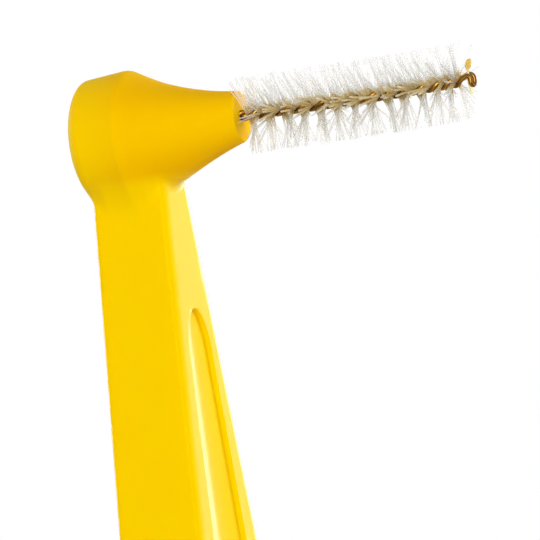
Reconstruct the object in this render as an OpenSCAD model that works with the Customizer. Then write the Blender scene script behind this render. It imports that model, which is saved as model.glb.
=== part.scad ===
// Angled interdental brush: a one-piece moulded handle whose head holds a twisted wire, with
// filaments trapped in every half turn of the twist. X is the way the brush points, Y runs across
// the handle's broad faces, and Z runs up the handle. Heights in the source are above the foot,
// and the finished pieces are set down with the place where the hand holds them at the origin.

/* [Handle] */
// Height of the brush's axis above the foot
axis_height = 136; // [110:1:160]
// Height above the foot at which finger and thumb hold the handle
hold_height = 70; // [50:1:90]
// Width of the grip, across its broad faces
grip_width = 11; // [10:0.25:13]
// Thickness of the grip, between its broad faces
grip_thickness = 4.8; // [4.4:0.1:5.4]
// Width of the neck just under the head
neck_width = 3.55; // [3.2:0.05:4.2]
// Thickness of the neck just under the head
neck_thickness = 3.95; // [3.6:0.05:4.2]
// Distance of the shoulder below the brush's axis
shoulder_drop = 31; // [26:1:38]
// Width over which the neck's taper rounds into the grip
shoulder_blend = 1.5; // [0.5:0.1:2.5]
// Radius along the handle's four long edges
edge_radius = 0.6; // [0.4:0.05:0.8]
// Radius of the foot's two corners, seen from the front
foot_radius = 3.2; // [2:0.1:4]

/* [Thumb recess] */
// Distance of the recess's upper end below the brush's axis
recess_top_drop = 9.2; // [8.4:0.1:12]
// Distance of the recess's lower end above the foot
recess_foot_gap = 14; // [10:0.5:30]
// Width of the recess just under its upper arch
recess_top_width = 2.75; // [2:0.05:3]
// Greatest width of the recess
recess_width = 6.4; // [5:0.1:7]
// Width over which the recess's spreading sides turn parallel
recess_blend = 0.4; // [0.2:0.05:0.8]
// Length of the arch at each end of the recess
arch_length = 2; // [1.5:0.1:3]
// Depth of the recess's side walls
recess_wall = 0.37; // [0.2:0.01:0.5]
// Distance that each side wall slopes inwards
wall_draft = 0.1; // [0.05:0.01:0.15]
// Radius of the recess's hollow floor
floor_radius = 10; // [8:0.5:20]

/* [Head] */
// Distance from the handle's centre plane to the nozzle's end
nozzle_reach = 6; // [5.5:0.05:8]
// Radius of the nozzle's end
nozzle_radius = 1.29; // [1.1:0.01:1.6]
// Radius of the rounding around the nozzle's end
nozzle_edge = 0.16; // [0.08:0.01:0.3]
// Radius that the nozzle's flare reaches at the centre plane
flare_radius = 3.6; // [3.45:0.01:4]
// Radius of the ridge around the head, at the centre plane
ridge_radius = 3.36; // [3.2:0.01:3.44]
// Radius over which the ridge is rounded
ridge_blend = 0.15; // [0.05:0.01:0.3]
// Radius of the rim of the head's domed back
back_radius = 3.18; // [3:0.01:3.3]
// Distance of that rim behind the centre plane
back_rim = 1.78; // [1.5:0.01:2.2]
// Height of the dome behind its rim
dome_height = 1.04; // [0.8:0.01:1.6]
// Distance of the head's middle below the brush's axis
head_sink = 0.25; // [0:0.01:0.35]
// Distance behind the nozzle's end over which the head sinks
sink_run = 4; // [3:0.1:5]
// Size of the fillet between the nozzle's underside and the neck's front
front_fillet = 0.32; // [0.2:0.02:0.6]
// Size of the fillet between the head and the neck's sides
side_fillet = 1.3; // [0.5:0.05:1.5]
// Size of the fillet between the head and the neck's back
back_fillet = 0.45; // [0.3:0.05:0.9]

/* [Wire] */
// Diameter of the steel wire
core_diameter = 0.2; // [0.18:0.01:0.24]
// Thickness of the polymer coating on the wire
coating_thickness = 0.025; // [0.02:0.005:0.03]
// Gap between the wire's two coated legs, where the filaments are held
leg_gap = 0.08; // [0.07:0.005:0.12]
// Length of half a turn of the twist
half_turn = 0.9; // [0.8:0.005:1]
// Length of half a turn near the tip, where the twist is tighter
tip_half_turn = 0.7; // [0.6:0.005:0.8]
// Length of the twisted wire that the head holds
wire_tail = 6.5; // [5:0.1:7]
// Rise of the wire where its hook starts, from a slight bend
tip_rise = 0.12; // [0:0.01:0.2]
// Length over which the wire bends up to its hook
bend_run = 6.6; // [4:0.1:10]
// Radius of the curve that lifts the hook out of the wire's line
lift_radius = 0.6; // [0.5:0.05:1]
// Length of the hook's straight rise
hook_rise = 0.49; // [0.4:0.01:0.6]
// Radius of the hook's turn over its top
hook_radius = 0.2; // [0.19:0.005:0.3]
// Length of the hook's straight drop, after which the wire turns back
hook_drop = 0.16; // [0.1:0.01:0.3]
// Clearance around the wire in the head's bore
bore_clearance = 0.02; // [0.01:0.005:0.05]

/* [Bristles] */
// Diameter of the brush over its bristles
brush_diameter = 4; // [3.2:0.1:5]
// Width of one filament
filament_width = 0.045; // [0.035:0.005:0.05]
// Distance from one filament to the next along the wire
filament_pitch = 0.061; // [0.058:0.001:0.08]
// Distance from the nozzle's end to the first tuft
first_gap = 0.12; // [0.1:0.01:0.3]
// Gap between one tuft's web and the next
web_gap = 0.02; // [0.01:0.005:0.04]
// Thickness of the packed filaments between the wire's legs
web_thickness = 0.06; // [0.04:0.005:0.065]
// Distance that the packed filaments stand out past the coated legs
web_proud = 0.06; // [0.03:0.005:0.08]
// Length of the last tuft's web, which the hook cuts short
last_run = 0.3; // [0.2:0.01:0.4]

/* [Marker strip] */
// Width of the strip's upper end
strip_width = 0.32; // [0.2:0.01:0.36]
// Width of the strip's lower end
strip_tail_width = 0.2; // [0.16:0.01:0.24]
// Width of the strip where it stands between the hook's legs
strip_neck = 0.14; // [0.1:0.01:0.16]
// Thickness of the strip
strip_thickness = 0.05; // [0.04:0.005:0.06]
// Reach of the strip's upper end above the brush's axis
strip_top = 1.2; // [1:0.05:1.5]
// Reach of the strip's lower end below the brush's axis
strip_bottom = 0.53; // [0.45:0.01:0.7]
// Radius to which the strip is bowed
strip_bow_radius = 2.6; // [2:0.1:6]
// Clearance between the strip and the wire that turns back past it
strip_gap = 0.03; // [0.02:0.005:0.05]

/* [Hidden] */
tuft_count = 14;
tight_tufts = 3;
// Lean of the upper filaments towards the head, in degrees
filament_lean = 12;
// Forward lean of the last lower filaments, in degrees
tip_splay = 14;
// Slope of the hook's rise, in degrees
hook_angle = 25;
// Lean from level between the hook's two legs, in degrees, with the leg at -Y lower
slot_lean = 15;
// Slope of the nozzle's flare where it starts, as rise over run
flare_slope_share = 0.15;
// Extra depth of the flare's lower half, as a share of its radius
under_fill = 0.12;

face_steps = 3;     // columns across half of a margin beside the recess, at the broad face
corner_steps = 4;   // columns round one long edge
side_steps = 3;     // columns across half of a narrow side
quarter_columns = face_steps + 2 + corner_steps + side_steps;
columns = 4 * quarter_columns;
search_steps = 26;  // halvings that find where a ray leaves the moulding
rings_per_half_turn = 4;
wire_sides = 5;
lift_steps = 2;     // rings along each part of the hook
rise_steps = 2;
over_steps = 5;
bow_steps = 4;      // rings round the bow where the wire turns back
strip_arc_steps = 4;

foot_arc_steps = 6;
arch_row_shares = [0.01, 0.05, 0.13, 0.27, 0.5, 0.75, 1];
grip_row_shares = [0.25, 0.5, 0.75, 1];
shoulder_row_shares = [0, 0.2, 0.4, 0.55, 0.7, 0.85, 1, 1.15];
neck_row_shares = [0.35, 0.7];
blend_row_shares = [1, 0.8, 0.62, 0.46, 0.32, 0.2, 0.1];
elbow_steps = 12;
nozzle_steps = 7;
nozzle_edge_steps = 3;

leg_radius = core_diameter / 2 + coating_thickness;
leg_orbit = leg_radius + leg_gap / 2;
wire_radius = leg_orbit + leg_radius;
bore_radius = wire_radius + bore_clearance;
web_reach = wire_radius + web_proud;
brush_radius = brush_diameter / 2;
twist_start = nozzle_reach + first_gap;
regular_turns = tuft_count - tight_tufts;
tight_start = twist_start + regular_turns * half_turn;
// Half turns of the whole twist, of which the last ease_turns slow down smoothly. The slope is that
// of the slowing where it starts, so that it follows on from the even twist
twist_turns = tuft_count - 1 / 2 - slot_lean / 180;
ease_turns = 0.5;
ease_slope = 1.5;
hook_start = tight_start + (twist_turns - ease_turns - regular_turns) * tip_half_turn;
twist_end = hook_start + ease_slope * ease_turns * tip_half_turn;
lift_run = lift_radius * hook_angle * PI / 180;
over_start = hook_start + lift_run + hook_rise;
over_run = hook_radius * (90 + hook_angle) * PI / 180;
hook_end = over_start + over_run + hook_drop;
wire_end = nozzle_reach - wire_tail;

flare_bend = (flare_radius - nozzle_radius - flare_slope_share * nozzle_reach) / pow(nozzle_reach, 2);
neck_top = ridge_radius + head_sink;
recess_top = axis_height - recess_top_drop;
pivot_gap = 0.4;    // distance of the elbow's pivot from the neck and from the nozzle
pivot_x = neck_thickness / 2 + pivot_gap;
pivot_drop = head_radius_at(pivot_x) * (1 + under_fill) + head_sink + pivot_gap;
blend_start = ridge_radius * (1 + under_fill) + head_sink + side_fillet;
ray_limit = nozzle_reach + back_rim + dome_height;  // longer than any ray inside the head
cut = nozzle_edge;

function tuft_name(k) = str("tuft_", k < 10 ? "0" : "", k);

// A smaller of two values that turns smoothly from one to the other over a width of size
function soft_min(a, b, size) =
    let (near = max(size - abs(a - b), 0) / size)
    min(a, b) - near * near * size / 4;

function mix(a, b, share) = a + (b - a) * share;
function ease(share) = let (s = min(max(share, 0), 1)) s * s * (3 - 2 * s);
function unit(v) = v / norm(v);

// Sizes of the neck and grip at a distance below the brush's axis
function taper(drop) = (drop - neck_top) / (shoulder_drop - neck_top);
function width_at(drop) =
    soft_min(mix(neck_width, grip_width, taper(drop)), grip_width, shoulder_blend);
function thickness_at(drop) =
    let (blend = shoulder_blend * (grip_thickness - neck_thickness) / (grip_width - neck_width))
    soft_min(mix(neck_thickness, grip_thickness, taper(drop)), grip_thickness, blend);

// How far a rounded corner of the foot draws in at height z
function foot_inset(z, radius) =
    z >= radius ? 0 : radius - sqrt(pow(radius, 2) - pow(radius - z, 2));
function half_width(z) = width_at(axis_height - z) / 2 - foot_inset(z, foot_radius);
function half_thickness(z) = thickness_at(axis_height - z) / 2 - foot_inset(z, edge_radius);

// Half the recess's width at height z, from its two straight sides and its two arched ends
function recess_sides(z) =
    let (spread = (recess_top - z) / (shoulder_drop - recess_top_drop))
    soft_min(mix(recess_top_width, recess_width, spread), recess_width, recess_blend) / 2;
function arch_share(inwards) =
    inwards >= arch_length ? 1 : sqrt(max(1 - pow(1 - inwards / arch_length, 2), 0));
function recess_half(z) =
    recess_sides(z) * arch_share(recess_top - z) * arch_share(z - recess_foot_gap);
function in_recess(z) = z < recess_top && z > recess_foot_gap;
function recess_depth(z, y) =
    in_recess(z) ? recess_wall + (pow(recess_half(z), 2) - pow(y, 2)) / (2 * floor_radius) : 0;

// One quarter of the handle's outline at height z, from the middle of a broad face to the middle
// of a side, as [distance from the centre plane, distance across, depth of the recess there]
function quarter(z) =
    let (
        deep = half_thickness(z),
        wide = half_width(z),
        flat = wide - edge_radius,
        half = max(recess_half(z), wall_draft),
        margin_start = half + wall_draft,
        margin = [for (i = [0:face_steps - 1]) mix(margin_start, flat, i / (face_steps - 1))],
        across = concat([0, half / 2, half], margin)
    )
    concat(
        [for (i = [0:len(across) - 1]) [deep, across[i], i < 3 ? recess_depth(z, across[i]) : 0]],
        [for (i = [1:corner_steps])
            let (a = 90 * i / corner_steps)
            [deep - edge_radius * (1 - cos(a)), flat + edge_radius * sin(a), 0]],
        [for (i = [1:side_steps - 1]) [mix(deep - edge_radius, 0, i / side_steps), wide, 0]]
    );

// The whole outline, from the middle of the back face round by +Y, the front and -Y
function outline(z) =
    let (q = quarter(z), n = len(q), side = [0, half_width(z), 0])
    concat(
        q,
        [side],
        [for (i = [n - 1:-1:1]) [-q[i][0], q[i][1], -q[i][2]]],
        [for (i = [0:n - 1]) [-q[i][0], -q[i][1], -q[i][2]]],
        [-side],
        [for (i = [n - 1:-1:1]) [q[i][0], -q[i][1], q[i][2]]]
    );
function handle_row(z) = [for (p = outline(z)) [p[2] - p[0], p[1], z]];

// Radius of the head at a distance x in front of the centre plane
function head_radius_at(x) =
    let (
        behind = nozzle_reach - x,
        flare = nozzle_radius + flare_slope_share * behind + flare_bend * pow(behind, 2),
        back = ridge_radius + (ridge_radius - back_radius) * x / back_rim
    )
    soft_min(flare, back, ridge_blend);
function sink_at(x) = head_sink * min((nozzle_reach - x) / sink_run, 1);

// How much deeper the flare is below its middle, where it runs down to the neck
function fill_at(x) =
    let (u = min(max(1 - x / nozzle_reach, 0), 1))
    1 + under_fill * 4 * u * (1 - u);

// Signed fields, below zero inside: the head, the neck, and the two with a fillet between them,
// which has one size in front, one at the sides and one at the back
function head_field(p) =
    let (
        up = p.z - axis_height + sink_at(p.x),
        out = norm([p.y, up < 0 ? up / fill_at(p.x) : up]),
        back = -back_rim - p.x
    )
    back < 0 ? out - head_radius_at(p.x) : back_radius * (norm([out / back_radius, back / dome_height]) - 1);
function neck_field(p) =
    let (
        drop = axis_height - p.z,
        qx = abs(p.x) - thickness_at(drop) / 2 + edge_radius,
        qy = abs(p.y) - width_at(drop) / 2 + edge_radius
    )
    max(norm([max(qx, 0), max(qy, 0)]) + min(max(qx, qy), 0) - edge_radius, -drop);
function fillet_at(x) =
    let (clear = edge_radius + pivot_gap, far = neck_thickness / 2)
    x > 0 ? mix(side_fillet, front_fillet, ease((x - clear) / (far - clear)))
          : mix(side_fillet, back_fillet, ease((-x - clear) / (far - clear)));
function body_field(p) = soft_min(head_field(p), neck_field(p), fillet_at(p.x));

// Distance from a point inside the moulding to its surface, found by halving
function reach(from, along, near, far, steps) =
    steps == 0 ? (near + far) / 2 :
    let (middle = (near + far) / 2)
    body_field(from + middle * along) < 0
        ? reach(from, along, middle, far, steps - 1)
        : reach(from, along, near, middle, steps - 1);

// Directions of one row's rays: those of the handle's outline at height z, mixed with even ones
function ray_angles(z, even) =
    let (points = outline(z))
    [for (i = [0:columns - 1])
        let (a = atan2(points[i][1], points[i][0]), turned = i > 0 && a <= 0 ? a + 360 : a)
        mix(turned, 360 * i / columns, even)];
function cast_row(centre, outwards, angles) =
    [for (a = angles)
        let (along = cos(a) * outwards + sin(a) * [0, 1, 0])
        centre + along * reach(centre, along, 0, ray_limit, search_steps)];

// Rows of the moulding from the foot to the nozzle. They run level up the handle, turn about a
// point in the corner between neck and nozzle, and stand upright along the nozzle
pivot_z = axis_height - pivot_drop;
blend_z = axis_height - blend_start;
shoulder_z = axis_height - shoulder_drop;
arch_low = [for (s = arch_row_shares) recess_foot_gap + s * arch_length];
arch_high = [for (i = [len(arch_row_shares) - 1:-1:0]) recess_top - arch_row_shares[i] * arch_length];
shoulder_low = shoulder_z - (shoulder_drop - neck_top) * shoulder_blend / (grip_width - neck_width);
shoulder_high = shoulder_z + (shoulder_z - shoulder_low);
level_heights = concat(
    [for (i = [0:foot_arc_steps]) foot_radius * (1 - cos(90 * i / foot_arc_steps))],
    [recess_foot_gap],
    arch_low,
    [for (s = grip_row_shares) mix(recess_foot_gap + arch_length, shoulder_low, s)],
    [for (i = [1:len(shoulder_row_shares) - 1]) mix(shoulder_low, shoulder_high, shoulder_row_shares[i])],
    [for (s = neck_row_shares) mix(shoulder_high, recess_top - arch_length, s)],
    arch_high,
    [recess_top]
);
level_rows = [for (z = level_heights) handle_row(z)];
blend_rows = [for (s = blend_row_shares)
    let (z = mix(pivot_z, blend_z, s))
    cast_row([0, 0, z], [-1, 0, 0], ray_angles(z, 0))];
elbow_rows = [for (i = [0:elbow_steps])
    let (
        a = 90 * i / elbow_steps,
        outwards = [-cos(a), 0, sin(a)],
        out = 1 / norm([cos(a) / pivot_x, sin(a) / pivot_drop])
    )
    cast_row([pivot_x, 0, pivot_z] + out * outwards, outwards, ray_angles(pivot_z, ease(i / elbow_steps)))];
nozzle_rows = [for (i = [1:nozzle_steps])
    let (x = mix(pivot_x, nozzle_reach - nozzle_edge, i / nozzle_steps))
    cast_row([x, 0, axis_height], [0, 0, 1], ray_angles(pivot_z, 1))];
nozzle_edge_rows = [for (i = [1:nozzle_edge_steps])
    let (
        a = 90 * i / nozzle_edge_steps,
        x = nozzle_reach - nozzle_edge * (1 - sin(a)),
        r = head_radius_at(nozzle_reach - nozzle_edge) - nozzle_edge * (1 - cos(a)),
        z = axis_height - sink_at(nozzle_reach - nozzle_edge)
    )
    [for (j = [0:columns - 1])
        let (b = 360 * j / columns)
        [x, r * sin(b), z + r * cos(b)]]];

// Faces round rows of equal length. Seen from the last row's end, each row runs clockwise. Each
// quad is cut along its shorter diagonal, which keeps a twisted skin full
function side_faces(rows) =
    let (n = len(rows[0]))
    [for (i = [0:len(rows) - 2]) for (j = [0:n - 1])
        let (
            k = (j + 1) % n,
            a = i * n + j, b = i * n + k,
            falling = norm(rows[i][j] - rows[i + 1][k]), rising = norm(rows[i][k] - rows[i + 1][j])
        )
        each falling < rising ? [[a, b, b + n], [a, b + n, a + n]] : [[a, b, a + n], [b, b + n, a + n]]];

// A closed skin over rows of equal length, with a flat fan round a middle point over each end
function middle(row) = [for (i = [0:len(row) - 1]) 1] * row / len(row);
module skin(rows) {
    n = len(rows[0]);
    last = len(rows) - 1;
    first_middle = (last + 1) * n;
    points = concat([for (row = rows) for (p = row) p], [middle(rows[0]), middle(rows[last])]);
    ends = [for (j = [0:n - 1])
        let (a = j, b = (j + 1) % n)
        each [[b, a, first_middle], [last * n + a, last * n + b, first_middle + 1]]];
    polyhedron(points, concat(side_faces(rows), ends));
}

module handle() {
    color("#f5c400")
    difference() {
        skin(concat(level_rows, blend_rows, elbow_rows, nozzle_rows, nozzle_edge_rows));
        translate([wire_end, 0, axis_height])
            rotate([0, 90, 0])
            cylinder(r = bore_radius, h = wire_tail + cut, $fn = 48);
    }
}

// Half turns made by the twist at a distance s along the wire
function turns_at(s) =
    s < tight_start ? (s - twist_start) / half_turn :
    s < hook_start ? regular_turns + (s - tight_start) / tip_half_turn :
    let (q = min((s - hook_start) / (twist_end - hook_start), 1))
    twist_turns - ease_turns * (1 - (3 * q - pow(q, 3)) / 2);
// Angle of the first leg about the centre line, in a left-handed twist that starts upright
function leg_angle(s) = 90 - 180 * turns_at(s);

// The wire's centre line at a distance s along it, as [point, slope in degrees]. It runs straight,
// bends up a little, and ends in a hook that rises, turns over and drops
function centre_line(s) =
    let (
        bend = max(min(s, hook_start) - hook_start + bend_run, 0) / bend_run,
        lift = hook_angle * min(max((s - hook_start) / lift_run, 0), 1),
        rise = min(max(s - hook_start - lift_run, 0), hook_rise),
        over = (90 + hook_angle) * min(max((s - over_start) / over_run, 0), 1),
        drop = max(s - over_start - over_run, 0),
        x = min(s, hook_start) + lift_radius * sin(lift) + rise * cos(hook_angle)
            + hook_radius * (sin(hook_angle) - sin(hook_angle - over)),
        up = tip_rise * pow(bend, 2) + lift_radius * (1 - cos(lift)) + rise * sin(hook_angle)
            + hook_radius * (cos(hook_angle - over) - cos(hook_angle)) - drop
    )
    [[x, 0, axis_height + up], lift - over];

// Directions at an angle a from +Y towards +Z, square to the axis or to a sloping centre line
function spoke(a) = [0, cos(a), sin(a)];
function sloping_spoke(a, slope) = [-sin(a) * sin(slope), cos(a), sin(a) * cos(slope)];

// Stations along the wire, as [point, outward normal]: out along one leg, round the bow that joins
// the legs at the hook's end, and back along the other
even_rings = ceil((tight_start - wire_end) / half_turn * rings_per_half_turn);
tight_rings = ceil((hook_start - tight_start) / tip_half_turn * rings_per_half_turn);
leg_stations = concat(
    [for (i = [0:even_rings - 1]) mix(wire_end, tight_start, i / even_rings)],
    [for (i = [0:tight_rings - 1]) mix(tight_start, hook_start, i / tight_rings)],
    [for (i = [0:lift_steps - 1]) hook_start + lift_run * i / lift_steps],
    [for (i = [0:rise_steps - 1]) hook_start + lift_run + hook_rise * i / rise_steps],
    [for (i = [0:over_steps]) over_start + over_run * i / over_steps],
    [hook_end]
);
function leg_station(s, opposite) =
    let (c = centre_line(s), out = sloping_spoke(leg_angle(s) + opposite, c[1]))
    [c[0] + leg_orbit * out, out];
function bow_station(a) =
    let (
        c = centre_line(hook_end),
        out = cos(a) * sloping_spoke(leg_angle(hook_end), c[1]) - sin(a) * [0, 0, 1]
    )
    [c[0] + leg_orbit * out, out];
wire_stations = concat(
    [for (s = leg_stations) leg_station(s, 0)],
    [for (i = [1:bow_steps]) bow_station(180 * i / (bow_steps + 1))],
    [for (i = [len(leg_stations) - 1:-1:0]) leg_station(leg_stations[i], 180)]
);

// Rings of a tube along the folded wire. A flat of each ring faces the other leg
function wire_rings(radius) =
    let (last = len(wire_stations) - 1)
    [for (i = [0:last])
        let (
            s = wire_stations[i],
            ahead = wire_stations[min(i + 1, last)][0] - wire_stations[max(i - 1, 0)][0],
            along = i == 0 ? [1, 0, 0] : i == last ? [-1, 0, 0] : unit(ahead),
            out = unit(s[1] - (s[1] * along) * along),
            across = cross(along, out)
        )
        [for (j = [0:wire_sides - 1])
            let (a = 360 * (j + 0.5) / wire_sides)
            s[0] + radius * (cos(a) * out - sin(a) * across)]];

module core_wire() {
    color("#b8b4ac") skin(wire_rings(core_diameter / 2));
}

// A tube with a wall between its outer rings and its inner ones, and a lip at each end
module wire_coating() {
    outer = wire_rings(leg_radius);
    inner = wire_rings(core_diameter / 2);
    rows = len(outer);
    n = wire_sides;
    inner_first = rows * n;
    inner_faces = [for (f = side_faces(inner)) [f[2], f[1], f[0]] + inner_first * [1, 1, 1]];
    lips = [for (j = [0:n - 1])
        let (
            k = (j + 1) % n,
            a = j, b = k, c = inner_first + a, d = inner_first + b,
            e = (rows - 1) * n + j, f = (rows - 1) * n + k, g = inner_first + e, h = inner_first + f
        )
        each [[b, a, c], [b, c, d], [e, f, h], [e, h, g]]];
    points = [for (row = concat(outer, inner)) for (p = row) p];
    color("#8a5a1e") polyhedron(points, concat(side_faces(outer), inner_faces, lips));
}

// Corners of the packed filaments between the legs at s, of which the first two and the last two
// are the edges that the free ends leave
function web_row(s) =
    let (
        c = centre_line(s)[0],
        a = leg_angle(s) + 90,
        wide = web_reach * spoke(a),
        thick = web_thickness / 2 * spoke(a + 90)
    )
    [c + wide + thick, c + wide - thick, c - wide - thick, c - wide + thick];
// A free end's run from its root at s, whose direction round the axis is a
function filament_run(s, a) =
    let (
        high = max(sin(a), 0),
        tip = min(max((s - tight_start) / (hook_start - tight_start), 0), 1),
        lean = tip_splay * tip * (1 - high) - filament_lean * (1 - tip) * high
    )
    (brush_radius - web_reach) * (spoke(a) + tan(lean) * [1, 0, 0]);

function tuft_start(k) =
    k <= regular_turns ? twist_start + (k - 1) * half_turn
                       : tight_start + (k - 1 - regular_turns) * tip_half_turn;
function tuft_end(k) = k < tuft_count ? tuft_start(k + 1) : tuft_start(k) + last_run;

// One half turn's filaments: a twisted slice of the packed filaments, whose stations are the two
// sides of each filament, with a free end standing on the slice's edge between every such pair
module tuft(k) {
    start = tuft_start(k) + web_gap / 2;
    end = tuft_end(k) - web_gap / 2;
    count = round((end - start) / filament_pitch);
    middles = [for (i = [0:count - 1]) mix(start, end, (i + 0.5) / count)];
    half = filament_width / 2;
    stations = concat([start], [for (s = middles) each [s - half, s + half]], [end]);
    rows = [for (s = stations) web_row(s)];
    last = len(rows) - 1;
    tips = [for (i = [0:count - 1]) for (edge = [0, 2])
        let (
            run = filament_run(middles[i], leg_angle(middles[i]) + 90 + 90 * edge),
            near = rows[2 * i + 1],
            far = rows[2 * i + 2]
        )
        for (p = [near[edge], near[edge + 1], far[edge + 1], far[edge]]) p + run];
    slice_faces = [for (i = [0:last - 1]) for (j = [0:3])
        let (a = 4 * i + j, b = 4 * i + (j + 1) % 4)
        if (j % 2 == 1 || i % 2 == 0) each [[a, b, b + 4], [a, b + 4, a + 4]]];
    filament_faces = [for (i = [0:count - 1]) for (edge = [0, 2])
        let (
            a = 4 * (2 * i + 1) + edge,
            root = [a, a + 1, a + 5, a + 4],
            tip = 4 * (last + 1) + 8 * i + 2 * edge
        )
        each concat(
            [[tip, tip + 1, tip + 2], [tip, tip + 2, tip + 3]],
            [for (m = [0:3])
                let (n = (m + 1) % 4)
                each [[root[m], root[n], tip + n], [root[m], tip + n, tip + m]]])];
    near_end = [[2, 1, 0], [3, 2, 0]];
    far_end = 4 * last * [[1, 1, 1], [1, 1, 1]] + [[0, 1, 2], [0, 2, 3]];
    points = concat([for (row = rows) for (p = row) p], tips);
    color("#f4f2ea") polyhedron(points, concat(slice_faces, filament_faces, near_end, far_end));
}

// The strip is flat and stands between the hook's two legs. It is narrow there and wider at its
// free ends, of which the upper one is round, and it is bowed a little
module marker_strip() {
    inner_x = centre_line(hook_end)[0].x - leg_radius - strip_neck / 2 - strip_gap;
    low = centre_line(hook_end)[0].z - axis_height - wire_radius;
    high = centre_line(over_start)[0].z - axis_height + wire_radius;
    round = strip_width / 2;
    stations = concat(
        [[-strip_bottom, strip_tail_width], [low - strip_neck, strip_tail_width], [low, strip_neck]],
        [[mix(low, high, 1 / 2), strip_neck], [high, strip_neck], [high + strip_neck, strip_width]],
        [for (i = [0:strip_arc_steps - 1])
            let (a = 90 * i / strip_arc_steps)
            [strip_top - round * (1 - sin(a)), strip_width * cos(a)]]
    );
    middle_height = mix(low, high, 1 / 2);
    rows = [for (s = stations)
        let (
            x = inner_x + pow(s[0] - middle_height, 2) / (2 * strip_bow_radius),
            z = axis_height + s[0],
            half = s[1] / 2,
            thick = strip_thickness / 2
        )
        [[x - half, -thick, z], [x - half, thick, z], [x + half, thick, z], [x + half, -thick, z]]];
    color("#e0a92c") skin(rows);
}

module held() { translate([0, 0, -hold_height]) children(); }

held() handle();
held() core_wire();
held() wire_coating();
held() marker_strip();
for (k = [1:tuft_count]) held() tuft(k);
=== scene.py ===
"""Looks of the angled interdental brush.

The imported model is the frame. Each piece made here stands for the CAD node that it replaces, in
the same place and with the same sizes, save small ones that a heading names, but with finer
surfaces. Sizes are in millimetres until a mesh is made. X is the way the brush points, Y runs
across the handle's broad faces, and Z runs up the handle. The origin is where finger and thumb
hold it.
"""

import math

import bpy
import numpy as np
from mathutils import Matrix, Vector


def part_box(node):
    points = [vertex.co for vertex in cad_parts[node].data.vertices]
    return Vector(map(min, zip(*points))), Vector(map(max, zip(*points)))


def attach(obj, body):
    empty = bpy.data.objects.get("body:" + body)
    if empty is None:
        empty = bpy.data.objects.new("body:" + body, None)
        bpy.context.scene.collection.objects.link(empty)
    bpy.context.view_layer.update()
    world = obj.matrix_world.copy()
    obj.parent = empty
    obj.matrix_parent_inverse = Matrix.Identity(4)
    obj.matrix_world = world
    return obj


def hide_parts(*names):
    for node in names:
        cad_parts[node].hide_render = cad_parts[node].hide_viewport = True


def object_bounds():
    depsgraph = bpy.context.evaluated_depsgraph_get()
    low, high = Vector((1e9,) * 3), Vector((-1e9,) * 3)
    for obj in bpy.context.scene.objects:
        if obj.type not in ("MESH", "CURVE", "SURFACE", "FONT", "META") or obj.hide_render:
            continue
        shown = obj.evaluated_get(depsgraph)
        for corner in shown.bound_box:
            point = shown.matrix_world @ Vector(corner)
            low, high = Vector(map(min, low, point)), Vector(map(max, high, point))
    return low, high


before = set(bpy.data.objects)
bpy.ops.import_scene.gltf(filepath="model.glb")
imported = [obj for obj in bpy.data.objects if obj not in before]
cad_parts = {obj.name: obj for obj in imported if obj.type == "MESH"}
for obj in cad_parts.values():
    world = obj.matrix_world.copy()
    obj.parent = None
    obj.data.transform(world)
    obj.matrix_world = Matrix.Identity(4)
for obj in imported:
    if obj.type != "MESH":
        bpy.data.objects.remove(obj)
cad_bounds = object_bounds()

# Sizes, in millimetres, as in the part's source unless a heading says otherwise
MM = 0.001
TINY = 1e-9
TUFTS = sorted(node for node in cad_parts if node.startswith("tuft_"))


def cad_box(node):
    """Lowest and highest corner of a CAD node, in millimetres."""
    return [np.array(corner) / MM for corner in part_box(node)]


handle_low, handle_high = cad_box("handle")
tuft_low, tuft_high = cad_box(TUFTS[0])
foot_z = handle_low[2]
nozzle_reach = handle_high[0]
grip_width = handle_high[1] - handle_low[1]
axis_z = 66.0
brush_radius = (tuft_high[1] - tuft_low[1]) / 2
reach_limit = cad_bounds[1][0] / MM

# Handle, with long edges that are flatter than the solid's
grip_thickness = 4.8
neck_width = 3.55
neck_thickness = 3.95
shoulder_drop = 31.0
shoulder_blend = 1.5
edge_radius = 0.6
edge_depth = 0.25
edge_reach = 0.55
foot_radius = 3.2

# Thumb recess, a little narrower than the solid's, with a lower wall and a rounder floor
recess_top_drop = 9.2
recess_foot_gap = 14.0
recess_top_width = 2.75
recess_width = 6.1
recess_blend = 0.4
arch_length = 2.0
recess_wall = 0.22
wall_run = 0.12
floor_radius = 9.0

# Head, with a finer rim round the nozzle's mouth than the solid's, and only the bore's front end
nozzle_radius = 1.29
nozzle_edge = 0.12
mouth_edge = 0.05
shown_bore = 1.5
flare_radius = 3.6
flare_slope_share = 0.15
under_fill = 0.12
ridge_radius = 3.36
ridge_blend = 0.15
back_radius = 3.18
back_rim = 1.78
dome_height = 1.04
head_sink = 0.25
sink_run = 4.0
front_fillet = 0.32
side_fillet = 1.3
back_fillet = 0.45
pivot_gap = 0.4

# Wire
core_radius = 0.1
coating_thickness = 0.025
coating_play = 0.002
leg_gap = 0.08
half_turn = 0.9
tip_half_turn = 0.7
first_gap = 0.12
wire_tail = 6.5
bore_clearance = 0.02
tip_rise = 0.12
bend_run = 6.6
lift_radius = 0.6
hook_rise = 0.49
hook_radius = 0.2
hook_drop = 0.16
hook_angle = 25.0
slot_lean = 15.0

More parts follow.
